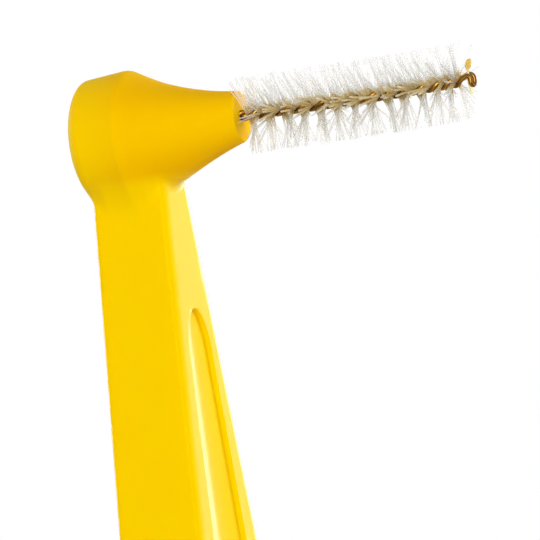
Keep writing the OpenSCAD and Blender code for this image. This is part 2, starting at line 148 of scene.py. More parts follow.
regular_turns = 11
ease_turns = 0.5
ease_slope = 1.5
leg_radius = core_radius + coating_thickness
leg_orbit = leg_radius + leg_gap / 2
wire_radius = leg_orbit + leg_radius
bore_radius = wire_radius + bore_clearance
twist_start = nozzle_reach + first_gap
twist_turns = len(TUFTS) - 0.5 - slot_lean / 180
tight_start = twist_start + regular_turns * half_turn
hook_start = tight_start + (twist_turns - ease_turns - regular_turns) * tip_half_turn
twist_end = hook_start + ease_slope * ease_turns * tip_half_turn
lift_run = lift_radius * math.radians(hook_angle)
over_start = hook_start + lift_run + hook_rise
over_run = hook_radius * math.radians(90 + hook_angle)
hook_end = over_start + over_run + hook_drop
wire_end = nozzle_reach - wire_tail

# Filaments, which are closer and less even than in the solids, with angles in degrees
filament_radius = 0.034
filament_pitch = 0.027
layer_offset = 0.013
clump = 3
clump_share = 0.72
filament_spread = 16.0
upright_pull = 12.0
spread_limit = 35.0
last_turn = 36.0
filament_lean = 12.0
first_lean = 10.0
tip_splay = 4.0
lean_scatter_above = 5.5
lean_scatter_below = 13.0
lean_scatter_tip = 6.0
first_start = 0.17
last_run = 0.3
last_crowding = 2.6
packed_from_turns = 0.5
# level_reach_share lowers the reach of level strands, which carries the painted beige reflection and shade of
# the roots further along them
level_reach_share = 0.21
level_thickening = 2.1
level_power = 8
trim_from = 0.4
trim_short = 0.01
trim_scatter = 0.018
trim_limit = 0.995
bend_scatter = 0.07

# Marker strip
strip_width = 0.32
strip_tail_width = 0.2
strip_neck = 0.14
strip_thickness = 0.05
strip_top = 1.2
strip_bottom = 0.53
strip_bow_radius = 2.6
strip_gap = 0.03
strip_roundness = 0.98

# Shared shapes and mesh helpers


def mix(a, b, share):
    """The value at a share of the way from a to b: a plus that share of the difference."""
    return a + (b - a) * share


def ease(share):
    """Smooth step from 0 to 1: 3 s squared minus 2 s cubed, with s held between 0 and 1."""
    s = np.clip(share, 0, 1)
    return s * s * (3 - 2 * s)


def soft_min(a, b, size):
    """The smaller of two values, less a quarter of size times the square of how near they are,
    so that it turns smoothly from one to the other over a width of size."""
    near = np.maximum(size - np.abs(a - b), 0) / size
    return np.minimum(a, b) - near * near * size / 4


def unit(v):
    """Vectors divided by their own lengths."""
    return v / np.linalg.norm(v, axis=-1, keepdims=True)


def graded(low, high, count, crowd="low"):
    """Values from low to high whose steps grow evenly away from the crowded end."""
    s = np.linspace(0, 1, count)
    return mix(low, high, s**2 if crowd == "low" else 1 - (1 - s) ** 2)


def make_mesh(name, points, face_arrays, smooth_angle=50.0):
    """A mesh object from points in millimetres and arrays of faces. The signed volume is the sum
    of the triple products of every face's fan of triangles, and where it is negative the faces
    are turned outwards."""
    corners = [points[faces] - points.mean(0) for faces in face_arrays]
    volume = sum(np.sum(c[:, 0] * np.cross(c[:, i], c[:, i + 1]))
                 for c in corners for i in range(1, c.shape[1] - 1))
    mesh = bpy.data.meshes.new(name)
    turned = [faces[:, ::-1] if volume < 0 else faces for faces in face_arrays]
    mesh.from_pydata((points * MM).tolist(), [], [face for faces in turned for face in faces.tolist()])
    mesh.shade_smooth()
    mesh.set_sharp_from_angle(angle=math.radians(smooth_angle))
    obj = bpy.data.objects.new(name, mesh)
    bpy.context.scene.collection.objects.link(obj)
    return obj


def grid_faces(rows, columns, wrap_rows=False):
    """Quads of a grid that closes round its columns, and round its rows too on request. Each
    joins a point, the next in its row, and the same two in the row below."""
    row = np.arange(rows if wrap_rows else rows - 1)[:, None]
    column = np.arange(columns)[None, :]
    beside = (column + 1) % columns
    above, below = row * columns, (row + 1) % rows * columns
    return np.stack([above + column, above + beside, below + beside, below + column], -1).reshape(-1, 4)


def skin(name, rows, **options):
    """A closed skin over a grid of rings, with a fan round a middle point over each end."""
    count, columns = rows.shape[:2]
    points = np.concatenate([rows.reshape(-1, 3), rows[[0, -1]].mean(1)])
    column = np.arange(columns)
    beside = (column + 1) % columns
    last = (count - 1) * columns
    near = np.stack([beside, column, np.full(columns, count * columns)], -1)
    far = np.stack([last + column, last + beside, np.full(columns, count * columns + 1)], -1)
    return make_mesh(name, points, [grid_faces(count, columns), near, far], **options)


def tube_rows(paths, guides, radii, sides):
    """Rings of round tubes along paths: a ring's point at angle a is the path's point plus the
    radius times cos(a) along the guide and sin(a) across it, both square to the path."""
    along = unit(np.gradient(paths, axis=-2))
    out = unit(guides - np.sum(guides * along, -1, keepdims=True) * along)
    across = np.cross(along, out)
    a = 2 * np.pi * (np.arange(sides) + 0.5) / sides
    ring = np.cos(a)[:, None] * out[..., None, :] + np.sin(a)[:, None] * across[..., None, :]
    return paths[..., None, :] + np.broadcast_to(radii, paths.shape[:-1])[..., None, None] * ring


def put_attribute(piece, name, values):
    """Stores one number, or one vector, for every point of a piece."""
    kind, key = ("FLOAT_VECTOR", "vector") if values.ndim > 1 else ("FLOAT", "value")
    attribute = piece.data.attributes.new(name, kind, "POINT")
    attribute.data.foreach_set(key, np.ascontiguousarray(values, dtype=np.float32).ravel())


def draw_in(points, axis, start, limit):
    """Shortens the reach past start along one axis, all in proportion, down to a limit. A faceted
    solid is a little smaller than the smooth surface through its corners."""
    past = points[..., axis] - start
    share = min(1.0, (limit - start) / past.max())
    points[..., axis] = np.where(past > 0, start + past * share, points[..., axis])
    return points


# Handle surface


def taper(drop):
    """0 at the neck's top and 1 at the shoulder, in proportion to the distance below the axis."""
    return (drop - ridge_radius - head_sink) / (shoulder_drop - ridge_radius - head_sink)


def width_at(drop):
    """Width across Y, growing in proportion down the neck until it is the grip's."""
    return soft_min(mix(neck_width, grip_width, taper(drop)), grip_width, shoulder_blend)


def thickness_at(drop):
    """Thickness along X, which grows as the width does, with its blend in the same proportion."""
    blend = shoulder_blend * (grip_thickness - neck_thickness) / (grip_width - neck_width)
    return soft_min(mix(neck_thickness, grip_thickness, taper(drop)), grip_thickness, blend)


def foot_inset(height, radius):
    """How far a rounded corner of the foot draws in at a height above the foot: the radius less
    the circle's half chord at that height."""
    left = np.clip(radius - height, 0, radius)
    return radius - np.sqrt(radius**2 - left**2)


def half_width(z):
    """Half the width at a height, less what the rounded foot draws in."""
    return width_at(axis_z - z) / 2 - foot_inset(z - foot_z, foot_radius)


def half_thickness(z):
    """Half the thickness at a height, less what the foot's edge draws in."""
    return thickness_at(axis_z - z) / 2 - foot_inset(z - foot_z, edge_radius)


recess_top = axis_z - recess_top_drop
recess_low = foot_z + recess_foot_gap


def recess_sides(z):
    """Half the recess's width, spreading evenly from its top until it runs parallel."""
    spread = (recess_top - z) / (shoulder_drop - recess_top_drop)
    return soft_min(mix(recess_top_width, recess_width, spread), recess_width, recess_blend) / 2


def arch_lean(z):
    """0 between the arches, and 1 at the apex of either."""
    inwards = np.minimum(recess_top - z, z - recess_low)
    return np.clip(1 - inwards / arch_length, 0, 2)


def recess_depth(z, y):
    """Depth of the recess. Each end is half an ellipse, so 1 - lean^2 - (y / side)^2 is above 0
    inside the outline, and divided by its own slope it is the distance from the outline. The wall
    falls over a short run of that distance, and the floor is a shallow arc across."""
    side = recess_sides(z)
    lean = arch_lean(z)
    inside = 1 - lean**2 - (y / side) ** 2
    slope = 2 * np.hypot(lean / arch_length, y / side**2) + TINY
    wall = ease((inside / slope + wall_run / 4) / wall_run)
    return recess_wall * wall + np.maximum(inside, 0) * side**2 / (2 * floor_radius)


def head_radius_at(x):
    """Radius of the turned head: a flare that is a parabola of the distance behind the nozzle's
    end, or the straight taper of the back where that is smaller."""
    behind = nozzle_reach - x
    bend = (flare_radius - nozzle_radius - flare_slope_share * nozzle_reach) / nozzle_reach**2
    flare = nozzle_radius + flare_slope_share * behind + bend * behind**2
    back = ridge_radius + (ridge_radius - back_radius) * x / back_rim
    return soft_min(flare, back, ridge_blend)


def sink_at(x):
    """How far the head's middle lies below the axis: in proportion to the distance behind the
    nozzle's end, up to the whole sink."""
    return head_sink * np.minimum((nozzle_reach - x) / sink_run, 1)


def head_field(p):
    """Below zero inside the head: the distance from the brush's axis less the head's radius. The
    middle sinks a little towards the back, the lower half is deeper where it runs down to the
    neck, and behind the rim the field is that of a flat ellipsoid."""
    x, y, z = p[..., 0], p[..., 1], p[..., 2]
    u = np.clip(1 - x / nozzle_reach, 0, 1)
    up = z - axis_z + sink_at(x)
    up = np.where(up < 0, up / (1 + under_fill * 4 * u * (1 - u)), up)
    out = np.hypot(y, up)
    dome = back_radius * (np.hypot(out / back_radius, (-back_rim - x) / dome_height) - 1)
    return np.where(x < -back_rim, dome, out - head_radius_at(x))


def neck_field(p):
    """Below zero inside the handle: about the distance from a rectangle at each height whose
    corners are quarters of an ellipse, which run further across the broad face than round the
    side. The ellipse's value is 1 on it, and the distance from it is that value less 1, times
    the value, over the slope of half the value's square."""
    x, y, z = p[..., 0], p[..., 1], p[..., 2]
    past_x = np.maximum(np.abs(x) - half_thickness(z) + edge_depth, 0)
    past_y = np.maximum(np.abs(y) - half_width(z) + edge_reach, 0)
    value = np.hypot(past_x / edge_depth, past_y / edge_reach)
    slope = np.hypot(past_x / edge_depth**2, past_y / edge_reach**2) + TINY
    inside = np.maximum(np.abs(x) - half_thickness(z), np.abs(y) - half_width(z))
    return np.maximum(np.where(value > 0, (value - 1) * value / slope, inside), z - axis_z)


def fillet_at(x):
    """Size of the fillet between head and neck: tight in front and behind, wide at the sides."""
    clear, far = edge_radius + pivot_gap, neck_thickness / 2
    front = ease((x - clear) / (far - clear))
    behind = ease((-x - clear) / (far - clear))
    return side_fillet + (front_fillet - side_fillet) * front + (back_fillet - side_fillet) * behind


def body_field(p):
    """Below zero inside the moulding: the lower of head and neck, joined by the fillet."""
    return soft_min(head_field(p), neck_field(p), fillet_at(p[..., 0]))


# Halvings of the search along a ray, which leave less than a nanometre
HALVINGS = 28


def cast(centres, outwards, angles):
    """Points where rays leave the moulding. Each row's rays start at its centre, and the ray at
    angle a runs cos(a) along the row's outward direction and sin(a) along +Y. All distances are
    found together, by halving between one point inside the field and one outside it."""
    a = np.radians(angles)[..., None]
    along = np.cos(a) * outwards[:, None] + np.sin(a) * np.array([0.0, 1.0, 0.0])
    near = np.zeros(angles.shape)
    far = np.full(angles.shape, 2.0 * grip_width)
    for _ in range(HALVINGS):
        middle = (near + far) / 2
        inside = body_field(centres[:, None] + middle[..., None] * along) < 0
        near = np.where(inside, middle, near)
        far = np.where(inside, far, middle)
    return centres[:, None] + ((near + far) / 2)[..., None] * along


# Columns of one quarter of the outline, from the middle of a broad face to the middle of a side
FLOOR_SHARES = np.array([0.0, 0.17, 0.34, 0.5, 0.64, 0.76, 0.86, 0.93])
LIP_OFFSETS = np.array([0.16, 0.13, 0.105, 0.08, 0.06, 0.04, 0.02, 0.0, -0.02, -0.04, -0.07])
LIP_ROOM = 0.2
MARGIN_COLUMNS, CORNER_COLUMNS, SIDE_COLUMNS = 5, 14, 6
QUARTER_COLUMNS = len(FLOOR_SHARES) + len(LIP_OFFSETS) + MARGIN_COLUMNS + CORNER_COLUMNS + SIDE_COLUMNS - 1
COLUMNS = 4 * QUARTER_COLUMNS
EVEN_ANGLES = np.arange(COLUMNS) * 360.0 / COLUMNS

# Below the head, the drops between which the columns turn to even angles and the rows grow dense
even_from_drop, even_to_drop = 8.6, 6.4
dense_drop = 5.8

# Close rows at each end of the recess run from a margin outside its apex to some way inside, and
# the next rows lie a step further in and some room further out
apex_margin, apex_run = 0.06, 0.2
apex_step, apex_room = 0.02, 0.1

# The point in the corner between neck and nozzle about which the rows turn
pivot_x = neck_thickness / 2 + pivot_gap
pivot_drop = head_radius_at(pivot_x) * (1 + under_fill) + head_sink + pivot_gap
pivot_z = axis_z - pivot_drop


def level_angles(z):
    """Angles of all columns for an array of heights. Across each broad face they follow shares
    of the recess's floor, then offsets from its lip, then the margin, then the rounded edge, then
    the narrow side, and the other three quarters mirror the first."""
    z = z[:, None]
    deep, wide = half_thickness(z), half_width(z)
    flat = wide - edge_reach
    arch = np.sqrt(np.clip(1 - arch_lean(z) ** 2, 0, 1))
    half = np.maximum(recess_sides(z) * arch, LIP_ROOM)
    lip = half - LIP_OFFSETS * np.minimum(1.0, half / (2 * LIP_ROOM))
    margin = mix(lip[:, -1:], flat, np.linspace(0, 1, MARGIN_COLUMNS + 1)[1:])
    across = np.concatenate([FLOOR_SHARES * lip[:, :1], lip, margin], 1)
    turn = np.radians(np.linspace(0, 90, CORNER_COLUMNS + 1)[1:])
    side = mix(deep - edge_depth, 0, np.linspace(0, 1, SIDE_COLUMNS + 1)[1:-1])
    out = np.concatenate([deep + 0 * across, deep - edge_depth * (1 - np.cos(turn)), side], 1)
    across = np.concatenate([across, flat + edge_reach * np.sin(turn), wide + 0 * side], 1)
    quarter = np.degrees(np.arctan2(across, out))
    half_round = np.concatenate([quarter, np.full_like(z, 90.0), 180 - quarter[:, :0:-1]], 1)
    return np.concatenate([half_round, 180 + half_round], 1)


def level_heights():
    """Heights of the level rows, close together at the foot, the recess's ends and the head."""
    apex = np.linspace(-apex_margin, apex_run, 14)
    arch_steps = np.concatenate([apex, graded(apex_run + apex_step, arch_length, 26)])
    shoulder_z = axis_z - shoulder_drop
    shoulder_half = (shoulder_drop - ridge_radius) * shoulder_blend / (grip_width - neck_width)
    return np.concatenate([
        foot_z + foot_radius * (1 - np.cos(np.radians(np.linspace(0, 90, 28)))),
        np.linspace(foot_z + foot_radius, recess_low - apex_room, 6)[1:],
        recess_low + arch_steps,
        np.linspace(recess_low + arch_length, shoulder_z - shoulder_half, 30)[1:],
        np.linspace(shoulder_z - shoulder_half, shoulder_z + shoulder_half, 24)[1:],
        np.linspace(shoulder_z + shoulder_half, recess_top - arch_length, 16)[1:-1],
        (recess_top - arch_steps)[::-1],
        np.linspace(axis_z - even_from_drop, axis_z - dense_drop, 13),
        np.linspace(axis_z - dense_drop, pivot_z, 34)[1:],
    ])


def level_rows():
    """Level rows up the handle. The recess is pressed into both broad faces, by its depth along
    X, which is 0 outside its outline."""
    heights = level_heights()
    share = ease((heights - axis_z + even_from_drop) / (even_from_drop - even_to_drop))[:, None]
    angles = mix(level_angles(heights), EVEN_ANGLES, share)
    centres = np.stack([0 * heights, 0 * heights, heights], 1)
    rows = cast(centres, np.tile([-1.0, 0.0, 0.0], (len(heights), 1)), angles)
    rows[..., 0] -= np.sign(rows[..., 0]) * recess_depth(rows[..., 2], rows[..., 1])
    return rows


def elbow_rows():
    """Rows that turn from level to upright. Their centres lie on a quarter ellipse round the
    pivot that starts on the handle's middle and ends on the brush's axis."""
    turn = np.radians(np.linspace(0, 90, 100)[1:])
    outwards = np.stack([-np.cos(turn), 0 * turn, np.sin(turn)], 1)
    out = 1 / np.hypot(np.cos(turn) / pivot_x, np.sin(turn) / pivot_drop)
    centres = np.array([pivot_x, 0, pivot_z]) + out[:, None] * outwards
    return cast(centres, outwards, np.tile(EVEN_ANGLES, (len(turn), 1)))


def nozzle_rows():
    """Upright rows along the nozzle, as far as the rounding of its mouth."""
    x = np.linspace(pivot_x, nozzle_reach - nozzle_edge, 36)[1:]
    centres = np.stack([x, 0 * x, np.full_like(x, axis_z)], 1)
    return cast(centres, np.tile([0.0, 0.0, 1.0], (len(x), 1)), np.tile(EVEN_ANGLES, (len(x), 1)))


def mouth_rows():
    """Rows of the nozzle's mouth, round the axis: a quarter circle round the rim, the flat end
    face, a smaller quarter circle, and the bore."""
    rim_radius = head_radius_at(nozzle_reach - nozzle_edge)
    a = np.radians(np.linspace(0, 90, 9)[1:])
    rim = np.stack([nozzle_reach - nozzle_edge * (1 - np.sin(a)), rim_radius - nozzle_edge * (1 - np.cos(a))])
    face_radius = np.linspace(rim[1, -1], bore_radius + mouth_edge, 9)[1:]
    face = np.stack([np.full_like(face_radius, nozzle_reach), face_radius])
    b = np.radians(np.linspace(0, 90, 7)[1:])
    lip = np.stack([nozzle_reach - mouth_edge * (1 - np.cos(b)), bore_radius + mouth_edge * (1 - np.sin(b))])
    bore_x = np.linspace(nozzle_reach - mouth_edge, nozzle_reach - shown_bore, 4)[1:]
    bore = np.stack([bore_x, np.full_like(bore_x, bore_radius)])
    x, radius = np.concatenate([rim, face, lip, bore], 1)[..., None]
    c = np.radians(EVEN_ANGLES)
    return np.stack([x + 0 * c, radius * np.sin(c), axis_z + radius * np.cos(c)], -1)


def handle_rows():
    """Rows of the moulding from the foot to the nozzle's mouth. They run level up the handle,
    turn about the corner between neck and nozzle, stand upright along the nozzle, and end inside
    the bore that the wire leaves."""
    rows = np.concatenate([level_rows(), elbow_rows(), nozzle_rows(), mouth_rows()])
    return draw_in(rows, 2, axis_z, handle_high[2])


# Wire and filaments


def turns_at(s):
    """Half turns made by the twist up to a distance s along the wire: even, then tighter, and
    over the last half of one slowing along a cubic until the legs run straight."""
    q = np.clip((s - hook_start) / (twist_end - hook_start), 0, 1)
    slowing = twist_turns - ease_turns * (1 - (3 * q - q**3) / 2)
    tight = regular_turns + (s - tight_start) / tip_half_turn
    return np.where(s < tight_start, (s - twist_start) / half_turn, np.where(s < hook_start, tight, slowing))


def leg_angle(s):
    """Angle of the first leg in a left-handed twist that starts upright."""
    return 90 - 180 * turns_at(s)


def centre_line(s):
    """The wire's centre line at distances s, as points and slopes in degrees. It bends up along
    a parabola to the hook, rises round an arc and along a straight run, turns over round a tight
    arc and drops straight."""
    bend = np.maximum(np.minimum(s, hook_start) - hook_start + bend_run, 0) / bend_run
    lift = np.radians(hook_angle * np.clip((s - hook_start) / lift_run, 0, 1))
    rise = np.clip(s - hook_start - lift_run, 0, hook_rise)
    over = np.radians((90 + hook_angle) * np.clip((s - over_start) / over_run, 0, 1))
    drop = np.maximum(s - over_start - over_run, 0)
    top = math.radians(hook_angle)
    x = (np.minimum(s, hook_start) + lift_radius * np.sin(lift) + rise * math.cos(top)
         + hook_radius * (math.sin(top) - np.sin(top - over)))
    up = (tip_rise * bend**2 + lift_radius * (1 - np.cos(lift)) + rise * math.sin(top)
          + hook_radius * (np.cos(top - over) - math.cos(top)) - drop)
    return np.stack([x, 0 * x, axis_z + up], -1), np.degrees(lift - over)


def spoke(degrees, slope=0.0):
    """Unit vectors at angles from +Y towards +Z, square to a line that rises at a slope."""
    a, b = np.radians(degrees), np.radians(slope)
    return np.stack([-np.sin(a) * np.sin(b), np.cos(a), np.sin(a) * np.cos(b)], -1)


def wire_path():
    """Points along the folded wire, and at each the direction away from its centre line: out
    along one leg, round the half circle of the bow where it turns back, and along the other."""
    ends = np.array([wire_end, tight_start, hook_start, over_start, over_start + over_run, hook_end])
    counts = [330, 46, 24, 18, 5]
    runs = [np.linspace(low, high, count)[:-1] for low, high, count in zip(ends, ends[1:], counts)]
    s = np.concatenate(runs + [ends[-1:]])
    centre, slope = centre_line(s)
    out, back = spoke(leg_angle(s), slope), spoke(leg_angle(s) + 180, slope)
    a = np.radians(np.linspace(0, 180, 16)[1:-1])[:, None]
    bow = np.cos(a) * out[-1] - np.sin(a) * np.array([0.0, 0.0, 1.0])
    outwards = np.concatenate([out, bow, back[::-1]])
    middles = np.concatenate([centre, np.tile(centre[-1], (len(bow), 1)), centre[::-1]])
    return middles + leg_orbit * outwards, outwards


# Distances from the wire's centre line at which a strand has rings, how much of its spread it has
# there, and how thick it is as a share of the filament
STRAND_STEPS = np.array([0.0, 0.17, 0.3, 0.5, 0.95, 1.5, brush_radius])
SPREAD_SHARES = np.array([0.0, 0.2, 0.7, 0.95, 1.0, 1.0, 1.0])
THICK_SHARES = np.array([1.3, 1.6, 1.7, 1.1, 1.0, 1.0, 0.85])

# The last strands at the tip are loose: each one's distance past the hook's start, angle and lean
LOOSE_STRANDS = np.array([[0.238, 20.0, 22.0], [0.298, 62.0, 14.0], [0.138, -20.0, 10.0]])


def strand_places(number):
    """Distances along the wire of one half turn's strands, evenly apart, and the same as shares
    of their own run. The first ones start a little late, clear of the nozzle, and the last half
    turn holds a short and crowded bundle."""
    last = number == len(TUFTS)
    start = twist_start + min(number - 1, regular_turns) * half_turn
    start += max(number - 1 - regular_turns, 0) * tip_half_turn
    length = half_turn if number <= regular_turns else tip_half_turn
    end = start + (last_run if last else length)
    start += first_start if number == 1 else 0
    count = int(round((end - start) / filament_pitch * (last_crowding if last else 1)))
    shares = (np.arange(count) + 0.5) / count
    return mix(start, end, shares), shares


def strand_fan(number, s, shares, random):
    """Angle, spread and lean of both ends of each strand, in degrees. Strands cling together by
    threes, so most of each chance value is shared by a clump. The fan draws strands towards the
    upright by upright_pull times the sine of twice their angle, and at the tip it turns the last
    ones upright. Strands above the wire lean towards the head, save the first ones, which stand
    clear of the nozzle, and low ones at the tip lean away from it."""
    count = len(s)
    angle = leg_angle(s)[:, None] + np.array([90.0, 270.0])
    shared = np.repeat(random.normal(0, 1, (2, -(-count // clump), 2)), clump, axis=1)[:, :count]
    own = random.normal(0, 1, (2, count, 2))
    spread_chance, lean_chance = mix(own, shared, clump_share)
    pull = upright_pull * np.sin(2 * np.radians(angle))
    spread = np.clip(filament_spread * spread_chance + pull, -spread_limit, spread_limit)
    if number == len(TUFTS):
        spread = spread / 2 - last_turn * shares[:, None]
    high = np.maximum(np.sin(np.radians(angle + spread)), 0)
    tip = np.clip((s - tight_start) / (hook_start - tight_start), 0, 1)[:, None]
    lean = tip_splay * tip * (1 - high) - filament_lean * (1 - tip) * high
    lean += first_lean * np.clip(1 - (s - twist_start) / half_turn, 0, 1)[:, None]
    below = mix(lean_scatter_below, lean_scatter_tip, tip)
    return angle, spread, lean + lean_chance * np.where(high > 0, lean_scatter_above, below)


def tuft_strands(number, random):
    """Centre lines of one half turn's strands, as strands by points by 3, with the reach and the strand's
    radius at each point. A strand lies between the wire's legs, in one of two layers, and fans out where it
    leaves them. Each of its ends runs out along its spoke, plus that run times tan(lean) along X, plus a bend
    and a sway that grow with its square. The reach is the distance out as a share of the brush's radius.
    Between the nozzle and the tip, strands that run level stay packed: they are thicker and their reach is
    less, by the eighth power of the cosine of their angle, which carries the painted beige reflection and
    shade of the roots further out along them and keeps them less clear. Past the wire, trim makes each end a
    little shorter."""
    s, shares = strand_places(number)
    angle, spread, lean = strand_fan(number, s, shares, random)
    count = len(s)
    packed = np.clip((s - twist_start) / half_turn - packed_from_turns, 0, 1)[:, None, None]
    if number == len(TUFTS):
        s[-len(LOOSE_STRANDS):] = hook_start + LOOSE_STRANDS[:, 0]
        angle[-len(LOOSE_STRANDS):, 0] = LOOSE_STRANDS[:, 1]
        lean[-len(LOOSE_STRANDS):, 0] = LOOSE_STRANDS[:, 2]
        spread[-len(LOOSE_STRANDS):] = 0
        packed = np.zeros_like(packed)

    trim = np.minimum(1 + random.normal(-trim_short, trim_scatter, (count, 2, 1)), trim_limit)
    out = STRAND_STEPS * np.where(STRAND_STEPS > trim_from, trim, 1.0)
    free = np.maximum(out - wire_radius, 0)
    grown = (free / (brush_radius - wire_radius)) ** 2
    bend, sway = random.normal(0, bend_scatter, (2, count, 2, 1))
    turned = angle[..., None] + spread[..., None] * SPREAD_SHARES
    ends = centre_line(s)[0][:, None, None] + out[..., None] * spoke(turned)
    layer = np.where(np.arange(count) % 2 == 0, layer_offset, -layer_offset)
    side = layer[:, None, None] * np.array([1.0, -1.0])[:, None] + sway * grown
    ends += side[..., None] * spoke(turned + 90)
    ends[..., 0] += np.tan(np.radians(lean))[..., None] * free + bend * grown
    ends[..., 0] = np.minimum(ends[..., 0], reach_limit - filament_radius)
    level = packed * np.cos(np.radians(turned)) ** level_power
    # A lower reach carries the painted beige reflection and shade of the roots further along level strands
    reach = out / brush_radius * mix(1.0, level_reach_share, level)
    radii = filament_radius * THICK_SHARES * mix(1.0, level_thickening, level)
    return [np.concatenate([values[:, 1, :0:-1], values[:, 0]], 1) for values in (ends, reach, radii)]


STRAND_SIDES = 4


def make_filaments(node, number, random):
    """One half turn's strands, each a tube with four sides that is thicker near the wire, where
    strands cling together. The attribute reach holds the reach of each point, and shade differs
    from strand to strand."""
    paths, reach, radii = tuft_strands(number, random)
    count, rings = paths.shape[:2]
    guides = np.broadcast_to([1.0, 0.0, 0.0], paths.shape)
    rows = tube_rows(paths, guides, radii, STRAND_SIDES)
    corners = np.arange(STRAND_SIDES)
    ends = np.stack([corners[::-1], (rings - 1) * STRAND_SIDES + corners])
    one = np.concatenate([grid_faces(rings, STRAND_SIDES), ends])
    faces = one + (np.arange(count) * rings * STRAND_SIDES)[:, None, None]
    faces = faces.reshape(-1, STRAND_SIDES)
    piece = make_mesh(node + "_filaments", rows.reshape(-1, 3), [faces], smooth_angle=180)
    put_attribute(piece, "reach", np.repeat(reach.ravel(), STRAND_SIDES))
    put_attribute(piece, "shade", np.repeat(random.random(count), rings * STRAND_SIDES))
    return piece


# Section of the strip with rounded edges, as shares of its half width and of its half thickness
STRIP_ACROSS_SHARES = np.array([-1, -0.8, -0.3, 0.3, 0.8, 1, 1, 0.8, 0.3, -0.3, -0.8, -1.0])
STRIP_THICK_SHARES = np.array([-0.4, -0.9, -1, -1, -0.9, -0.4, 0.4, 0.9, 1, 1, 0.9, 0.4])


def strip_rows():
    """The marker strip from its lower to its upper end, flat in the middle plane. It is bowed
    along a parabola and narrow between the hook's legs, each free end is cut round, and its edges
    are rounded."""
    hook_low = centre_line(np.array(hook_end))[0]
    inner_x = hook_low[0] - leg_radius - strip_neck / 2 - strip_gap
    low = hook_low[2] - axis_z - wire_radius
    high = centre_line(np.array(over_start))[0][2] - axis_z + wire_radius
    h = np.concatenate([
        graded(-strip_bottom, low - strip_neck, 8),
        np.linspace(low - strip_neck, high + strip_neck, 22)[1:],
        graded(high + strip_neck, strip_top, 18, crowd="high")[1:],
    ])[:, None]
    upper, lower = ease((h - high) / strip_neck), ease((low - h) / strip_neck)
    width = strip_neck + (strip_width - strip_neck) * upper + (strip_tail_width - strip_neck) * lower
    round_top = np.clip(1 - (strip_top - h) / (strip_width / 2), 0, strip_roundness)
    round_low = np.clip(1 - (h + strip_bottom) / (strip_tail_width / 4), 0, strip_roundness)
    half = width / 2 * np.sqrt(1 - round_top**2) * mix(1.0, np.sqrt(1 - round_low**2), 0.5)
    x = inner_x + (h - (low + high) / 2) ** 2 / (2 * strip_bow_radius) + half * STRIP_ACROSS_SHARES
    return np.stack([x, STRIP_THICK_SHARES * strip_thickness / 2 + 0 * x, axis_z + h + 0 * x], -1)


# Materials


def colour(code):
    """A hex sRGB colour as linear RGBA."""
    values = [int(code[i:i + 2], 16) / 255 for i in (1, 3, 5)]
    return [v / 12.92 if v <= 0.04045 else ((v + 0.055) / 1.055) ** 2.4 for v in values] + [1.0]


def add(tree, kind, inputs, **settings):
    """Adds a shader node of a kind with its settings, or takes one that is there, and links or
    sets its inputs."""
    node = tree.nodes.new("ShaderNode" + kind) if isinstance(kind, str) else kind
    for key, value in settings.items():
        setattr(node, key, value)
    for key, value in inputs.items():
        if isinstance(value, bpy.types.NodeSocket):
            tree.links.new(value, node.inputs[key])
        else:
            node.inputs[key].default_value = value
    return node


def new_material(name):
    """A node material, with its tree and its shader."""
    material = bpy.data.materials.new(name)
    material.use_nodes = True
    tree = material.node_tree
    return material, tree, tree.nodes["Principled BSDF"]


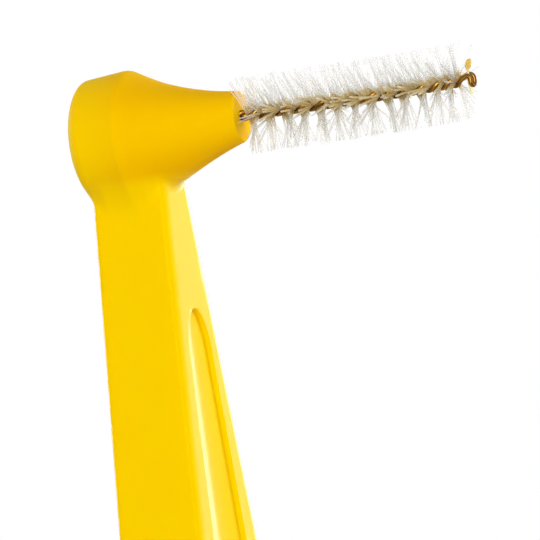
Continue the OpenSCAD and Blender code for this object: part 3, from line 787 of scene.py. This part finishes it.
def polypropylene():
    """Moulded yellow polypropylene: a little cloudy and translucent, with painted shade that turns its yellow
    deeper orange over the head, most towards the nozzle and towards the head's top and bottom. It is polished
    along the handle and satin on the head, with a gloss that keeps the plastic's yellow, a fine mould grain,
    and faint waves where it shrank."""
    # Heights where the neck ends and the head's finish and painted shade are full, places along X where the
    # painted shade sets in and is full, the head's middle band, where the painted shade is weakest, and how
    # far off that band it is full at the back and the nozzle
    head_from, head_to = axis_z - 2.9, axis_z - 2.1
    shade_from_x, shade_to_x = -2.0, 1.5
    middle_z, middle_half = axis_z - 0.1, 0.4
    back_girth, nozzle_girth = 2.4, 1.4
    cloud_size, patch_size, grain_size, wave_size = 3.0 * MM, 0.6 * MM, 0.1 * MM, 2.4 * MM

    material, tree, shader = new_material("yellow_polypropylene")
    place = add(tree, "TexCoord", {}).outputs["Object"]
    cloud = add(tree, "TexNoise", {"Vector": place, "Scale": 1 / cloud_size, "Detail": 3.0})
    # The plastic's own yellow, which differs at random in a cloudy way
    thin = add(tree, "Mix", {
        0: cloud.outputs["Fac"], 6: colour("#f8cb00"), 7: colour("#fbd202")}, data_type="RGBA")
    x, _, z = add(tree, "SeparateXYZ", {"Vector": place}).outputs
    head = add(tree, "MapRange", {
        "Value": z, "From Min": head_from * MM, "From Max": head_to * MM},
        interpolation_type="SMOOTHSTEP").outputs["Result"]
    flare = add(tree, "MapRange", {
        "Value": x, "From Min": shade_from_x * MM, "From Max": shade_to_x * MM, "To Min": 0.15, "To Max": 0.85},
        interpolation_type="SMOOTHSTEP").outputs["Result"]
    off_axis = add(tree, "Math", {0: z, 1: middle_z * MM}, operation="SUBTRACT").outputs[0]
    off_axis = add(tree, "Math", {0: off_axis}, operation="ABSOLUTE").outputs[0]
    girth = add(tree, "MapRange", {
        "Value": x, "From Max": nozzle_reach * MM, "To Min": back_girth * MM, "To Max": nozzle_girth * MM})
    shade_off_middle = add(tree, "MapRange", {
        "Value": off_axis, "From Min": middle_half * MM, "From Max": girth.outputs["Result"], "To Min": 0.62},
        interpolation_type="SMOOTHSTEP").outputs["Result"]
    # Painted shade: the yellow turns deeper orange over the head, towards the nozzle and away from the head's
    # brightly lit middle band
    painted_shade = add(tree, "Math", {0: head, 1: flare}, operation="MULTIPLY").outputs[0]
    painted_shade = add(tree, "Math", {0: painted_shade, 1: shade_off_middle}, operation="MULTIPLY").outputs[0]
    tone = add(tree, "Mix", {0: painted_shade, 6: thin.outputs[2], 7: colour("#efb400")}, data_type="RGBA")
    patches = add(tree, "TexNoise", {"Vector": place, "Scale": 1 / patch_size, "Detail": 2.0})
    polish = add(tree, "MapRange", {"Value": patches.outputs["Fac"], "To Min": 0.13, "To Max": 0.2})
    gloss = add(tree, "MapRange", {"Value": head, "To Min": polish.outputs["Result"], "To Max": 0.65})
    grain = add(tree, "TexNoise", {"Vector": place, "Scale": 1 / grain_size, "Detail": 3.0})
    waves = add(tree, "TexNoise", {"Vector": place, "Scale": 1 / wave_size, "Detail": 1.0})
    fine = add(tree, "Bump", {"Height": grain.outputs["Fac"], "Distance": 0.0022 * MM, "Strength": 0.5})
    relief = add(tree, "Bump", {
        "Height": waves.outputs["Fac"], "Distance": 0.012 * MM, "Strength": 0.6,
        "Normal": fine.outputs["Normal"]})
    add(tree, shader, {
        "Base Color": tone.outputs[2], "Roughness": gloss.outputs["Result"], "IOR": 1.49,
        "Specular IOR Level": 0.12, "Specular Tint": colour("#ffd000"), "Subsurface Weight": 0.25,
        "Subsurface Radius": [1.0, 0.55, 0.06], "Subsurface Scale": 0.7 * MM,
        "Normal": relief.outputs["Normal"]})
    return material


def bronze_coating():
    """A clear polymer coat with a bronze tint over drawn wire: dark brown metal with lighter gold
    streaks along each leg, where the coat is thin, under a glossy skin that catches the lamps.
    The attribute drawn holds a point's place round the leg and, much shortened, along it, so that
    a streak is about 0.1 mm wide and 5 mm long."""
    material, tree, shader = new_material("bronze_coating")
    drawn = add(tree, "Attribute", {}, attribute_name="drawn").outputs["Vector"]
    lines = add(tree, "TexNoise", {
        "Vector": drawn, "Scale": 1.3, "Detail": 3.0, "Roughness": 0.6}).outputs["Fac"]
    thin = add(tree, "MapRange", {"Value": lines, "From Min": 0.42, "From Max": 0.66})
    tone = add(tree, "Mix", {
        0: thin.outputs["Result"], 6: colour("#6e4a10"), 7: colour("#d49c3c")}, data_type="RGBA")
    rough = add(tree, "MapRange", {"Value": lines, "To Min": 0.26, "To Max": 0.42})
    relief = add(tree, "Bump", {"Height": lines, "Distance": 0.003 * MM, "Strength": 0.5})
    add(tree, shader, {
        "Base Color": tone.outputs[2], "Metallic": 1.0, "Roughness": rough.outputs["Result"],
        "Coat Weight": 0.3, "Coat Roughness": 0.1, "Coat IOR": 1.5,
        "Normal": relief.outputs["Normal"]})
    return material


def stainless_wire():
    """Drawn stainless steel wire, grey and half polished, with lines along it that are about
    0.04 mm wide."""
    material, tree, shader = new_material("stainless_wire")
    drawn = add(tree, "Attribute", {}, attribute_name="drawn").outputs["Vector"]
    lines = add(tree, "TexNoise", {"Vector": drawn, "Scale": 2.5, "Detail": 3.0}).outputs["Fac"]
    tone = add(tree, "Mix", {0: lines, 6: colour("#a9a6a0"), 7: colour("#c9c7c2")}, data_type="RGBA")
    rough = add(tree, "MapRange", {"Value": lines, "To Min": 0.22, "To Max": 0.38})
    add(tree, shader, {
        "Base Color": tone.outputs[2], "Metallic": 1.0, "Roughness": rough.outputs["Result"]})
    return material


def white_nylon():
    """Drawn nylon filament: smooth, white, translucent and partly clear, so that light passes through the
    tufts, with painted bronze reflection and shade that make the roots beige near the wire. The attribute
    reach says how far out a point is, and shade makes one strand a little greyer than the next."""
    # Reaches where the painted beige reflection and shade is full and where it is gone, and where the strands
    # start to turn clear and are clearest
    beige_full, beige_gone = 0.15, 0.34
    clear_from, clear_full = 0.13, 0.4

    material, tree, shader = new_material("white_nylon")
    reach = add(tree, "Attribute", {}, attribute_name="reach").outputs["Fac"]
    shade = add(tree, "Attribute", {}, attribute_name="shade").outputs["Fac"]
    # Painted bronze reflection and shade: the strands are beige near the wire and white further out
    root = add(tree, "MapRange", {
        "Value": reach, "From Min": beige_full, "From Max": beige_gone, "To Min": 1.0, "To Max": 0.0},
        interpolation_type="SMOOTHSTEP").outputs["Result"]
    white = add(tree, "Mix", {0: shade, 6: colour("#f2f2f0"), 7: colour("#ffffff")}, data_type="RGBA")
    beige = add(tree, "Mix", {0: shade, 6: colour("#e8d6a0"), 7: colour("#fdf4d2")}, data_type="RGBA")
    tone = add(tree, "Mix", {
        0: root, 6: white.outputs[2], 7: beige.outputs[2]}, data_type="RGBA").outputs[2]
    add(tree, shader, {"Base Color": tone, "Roughness": 0.3, "IOR": 1.53})
    through = add(tree, "BsdfTranslucent", {"Color": tone})
    both = add(tree, "MixShader", {0: 0.6, 1: shader.outputs[0], 2: through.outputs[0]})
    clear = add(tree, "BsdfTransparent", {})
    share = add(tree, "MapRange", {
        "Value": reach, "From Min": clear_from, "From Max": clear_full, "To Min": 0.0, "To Max": 0.63})
    seen = add(tree, "MixShader", {0: share.outputs["Result"], 1: both.outputs[0], 2: clear.outputs[0]})
    add(tree, tree.nodes["Material Output"], {"Surface": seen.outputs[0]})
    return material


def yellow_strip():
    """Cut polyester film, yellow, glossy and a little see-through, and cream below its tab."""
    tab_low, cream_high = axis_z + 0.75, axis_z + 0.5

    material, tree, shader = new_material("yellow_strip")
    place = add(tree, "TexCoord", {}).outputs["Object"]
    creases = add(tree, "TexNoise", {
        "Vector": place, "Scale": 1 / (0.2 * MM), "Detail": 3.0}).outputs["Fac"]
    tab = add(tree, "Mix", {0: creases, 6: colour("#cca42c"), 7: colour("#e2c45c")}, data_type="RGBA")
    height = add(tree, "SeparateXYZ", {"Vector": place}).outputs["Z"]
    # The strip turns cream from its tab downwards
    cream_share = add(tree, "MapRange", {
        "Value": height, "From Min": tab_low * MM, "From Max": cream_high * MM})
    tone = add(tree, "Mix", {
        0: cream_share.outputs["Result"], 6: tab.outputs[2], 7: colour("#efe2b0")}, data_type="RGBA")
    relief = add(tree, "Bump", {"Height": creases, "Distance": 0.006 * MM, "Strength": 0.5})
    add(tree, shader, {
        "Base Color": tone.outputs[2], "Roughness": 0.3, "IOR": 1.57, "Subsurface Weight": 0.2,
        "Subsurface Radius": [1.0, 0.7, 0.2], "Subsurface Scale": 0.1 * MM,
        "Normal": relief.outputs["Normal"]})
    return material


# Pieces


def dress(piece, material, node):
    """Gives a piece its material and puts it in the place of a CAD node."""
    piece.data.materials.append(material)
    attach(piece, "root")
    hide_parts(node)


dress(skin("handle_moulding", handle_rows()), polypropylene(), "handle")

path, outwards = wire_path()
path = draw_in(path, 0, hook_start, reach_limit - leg_radius)
run = np.concatenate([[0.0], np.cumsum(np.linalg.norm(np.diff(path, axis=0), axis=1))])
CORE_SIDES, COAT_SIDES = 10, 16


def drawn_places(rings, sides):
    """For each point of a leg's rings, the cosine and sine of its angle, and its run along the
    leg shortened to a sixth, so that a noise read at this place makes lines along the wire."""
    a = 2 * np.pi * (np.arange(sides) + 0.5) / sides
    place = [np.cos(a) + 0 * rings[:, None], np.sin(a) + 0 * rings[:, None], rings[:, None] / 6 + 0 * a]
    return np.stack(place, -1).reshape(-1, 3)


# The wire's core has a fan over each end, whose middle points come last and have no drawn place
core = skin("folded_wire", tube_rows(path, outwards, core_radius, CORE_SIDES))
put_attribute(core, "drawn", np.concatenate([drawn_places(run, CORE_SIDES), np.zeros((2, 3))]))
dress(core, stainless_wire(), "core_wire")

# The coating is a tube with a wall: its rows run out along the outside and back along the inside
outside = tube_rows(path, outwards, leg_radius, COAT_SIDES)
inside = tube_rows(path, outwards, core_radius + coating_play, COAT_SIDES)
wall = np.concatenate([outside, inside[::-1]])
coat = make_mesh("wire_coat", wall.reshape(-1, 3), [grid_faces(len(wall), COAT_SIDES, wrap_rows=True)])
put_attribute(coat, "drawn", drawn_places(np.concatenate([run, run[::-1]]), COAT_SIDES))
dress(coat, bronze_coating(), "wire_coating")

nylon = white_nylon()
random = np.random.default_rng(7)
for number, node in enumerate(TUFTS, 1):
    dress(make_filaments(node, number, random), nylon, node)

dress(skin("bowed_strip", strip_rows()), yellow_strip(), "marker_strip")

# Floor, lamps and camera
view_azimuth = 20.0
view_distance = 600.0
lamp_distance = 500.0


def make_floor():
    """A pale paper floor under the foot, which lies below the photograph's frame. It keeps the
    part's shadow, and to the camera it fades into the white surroundings with the distance. The
    light that it throws back up is that of a greyer paper."""
    half = 400.0
    fade_from, fade_to = 120.0, 380.0
    mottle_size = 20.0 * MM

    corners = half * np.array([[-1.0, -1.0, 0.0], [1.0, -1.0, 0.0], [1.0, 1.0, 0.0], [-1.0, 1.0, 0.0]])
    floor = make_mesh("floor", corners + np.array([0.0, 0.0, foot_z]), [np.array([[0, 1, 2, 3]])])
    material, tree, shader = new_material("white_paper_floor")
    place = add(tree, "TexCoord", {}).outputs["Object"]
    seen = add(tree, "LightPath", {}).outputs["Is Camera Ray"]
    mottle = add(tree, "TexNoise", {"Vector": place, "Scale": 1 / mottle_size, "Detail": 2.0})
    paper = add(tree, "Mix", {
        0: mottle.outputs["Fac"], 6: colour("#dedede"), 7: colour("#e6e6e6")}, data_type="RGBA")
    tone = add(tree, "Mix", {0: seen, 6: colour("#aeaca9"), 7: paper.outputs[2]}, data_type="RGBA")
    add(tree, shader, {"Base Color": tone.outputs[2], "Roughness": 0.9})
    away = add(tree, "VectorMath", {0: place}, operation="LENGTH").outputs["Value"]
    fade = add(tree, "MapRange", {
        "Value": away, "From Min": fade_from * MM, "From Max": fade_to * MM},
        interpolation_type="SMOOTHSTEP").outputs["Result"]
    fade = add(tree, "Math", {0: fade, 1: seen}, operation="MULTIPLY").outputs[0]
    white = add(tree, "Emission", {"Color": colour("#ffffff"), "Strength": 1.0})
    both = add(tree, "MixShader", {0: fade, 1: shader.outputs[0], 2: white.outputs[0]})
    add(tree, tree.nodes["Material Output"], {"Surface": both.outputs[0]})
    floor.data.materials.append(material)


def look_at(obj, place, target, roll=0.0):
    """Puts an object at a place, in millimetres, looking at a target, and rolls it."""
    obj.location = Vector(place) * MM
    turn = (Vector(target) - Vector(place)).to_track_quat("-Z", "Y").to_matrix().to_4x4()
    obj.rotation_euler = (turn @ Matrix.Rotation(math.radians(roll), 4, "Z")).to_euler()


def around(target, azimuth, elevation, distance):
    """A place at a distance from a target. Azimuth 0 is in front, at -Y, and 90 is at +X."""
    a, e = math.radians(azimuth), math.radians(elevation)
    direction = [math.sin(a) * math.cos(e), -math.cos(a) * math.cos(e), math.sin(e)]
    return np.asarray(target) + distance * np.array(direction)


def make_camera():
    """The photograph's view: level with the head, 20 degrees round from the handle's narrow side,
    rolled so that the handle leans left, with 27 mm of the part across the frame. The nozzle's
    end lies at pixel (242, 116) of the 540 by 540 frame."""
    roll, across, image = 8.0, 27.0, 540.0
    nozzle_pixel = (242.0, 116.0)

    data = bpy.data.cameras.new("camera")
    camera = bpy.data.objects.new("camera", data)
    bpy.context.scene.collection.objects.link(camera)
    data.sensor_width = 36.0
    data.lens = view_distance * data.sensor_width / across
    data.clip_start, data.clip_end = 0.01, 10.0
    scale = across / image
    right, up = (image / 2 - nozzle_pixel[0]) * scale, (nozzle_pixel[1] - image / 2) * scale
    r, a = math.radians(roll), math.radians(view_azimuth)
    level_right = right * math.cos(r) + up * math.sin(r)
    level_up = -right * math.sin(r) + up * math.cos(r)
    nozzle = np.array([nozzle_reach, 0, axis_z])
    target = nozzle + np.array([level_right * math.cos(a), level_right * math.sin(a), level_up])
    look_at(camera, around(target, view_azimuth, 0, view_distance), target, -roll)
    bpy.context.scene.camera = camera
    return target


def add_lamp(name, target, azimuth, elevation, size, level, mirrored=True):
    """A square softbox, which shows in reflections unless it isn't mirrored. A lamp of W watts at
    distance d gives a surface that faces it the brightness W / (pi squared times d squared), so
    the watts follow from the level wanted."""
    data = bpy.data.lights.new(name, "AREA")
    data.shape, data.size = "SQUARE", size * MM
    data.energy = level * (math.pi * lamp_distance * MM) ** 2
    lamp = bpy.data.objects.new(name, data)
    lamp.visible_glossy = mirrored
    bpy.context.scene.collection.objects.link(lamp)
    look_at(lamp, around(target, azimuth, elevation, lamp_distance), target)


def make_world():
    """White surroundings: plain white to the camera, and dimmer and a little warmer as the soft
    light on the part. Reflections show a white backdrop behind the part, full white within about
    23 degrees of its middle and 0.4 of that past about 57 degrees, by the cosine of the angle."""
    full_cosine, gone_cosine = 0.92, 0.55

    world = bpy.data.worlds.new("white_studio")
    world.use_nodes = True
    bpy.context.scene.world = world
    tree = world.node_tree
    ray = add(tree, "LightPath", {}).outputs
    direction = add(tree, "TexCoord", {}).outputs["Generated"]
    middle = around([0.0, 0.0, 0.0], view_azimuth + 180, 0, 1.0)
    facing = add(tree, "VectorMath", {
        0: direction, 1: middle.tolist()}, operation="DOT_PRODUCT").outputs["Value"]
    backdrop = add(tree, "MapRange", {
        "Value": facing, "From Min": gone_cosine, "From Max": full_cosine, "To Min": 0.4},
        interpolation_type="SMOOTHSTEP").outputs["Result"]
    mirrored = add(tree, "Math", {
        0: ray["Is Glossy Ray"], 1: ray["Is Transmission Ray"]}, operation="MAXIMUM").outputs[0]
    mirrored = add(tree, "Math", {0: mirrored, 1: backdrop}, operation="MULTIPLY").outputs[0]
    seen = add(tree, "Math", {0: ray["Is Camera Ray"], 1: mirrored}, operation="MAXIMUM").outputs[0]
    tone = add(tree, "Mix", {0: seen, 6: colour("#b4b2ae"), 7: colour("#ffffff")}, data_type="RGBA")
    add(tree, tree.nodes["Background"], {"Color": tone.outputs[2], "Strength": 1.0})


make_floor()
target = make_camera()
make_world()
add_lamp("front_softbox", target, azimuth=18, elevation=8, size=220, level=0.62)
add_lamp("right_softbox", target, azimuth=140, elevation=10, size=220, level=0.9, mirrored=False)
add_lamp("left_softbox", target, azimuth=-110, elevation=14, size=220, level=0.35)
add_lamp("back_softbox", target, azimuth=171, elevation=0, size=130, level=0.07)
bpy.context.scene.view_settings.view_transform = "Standard"
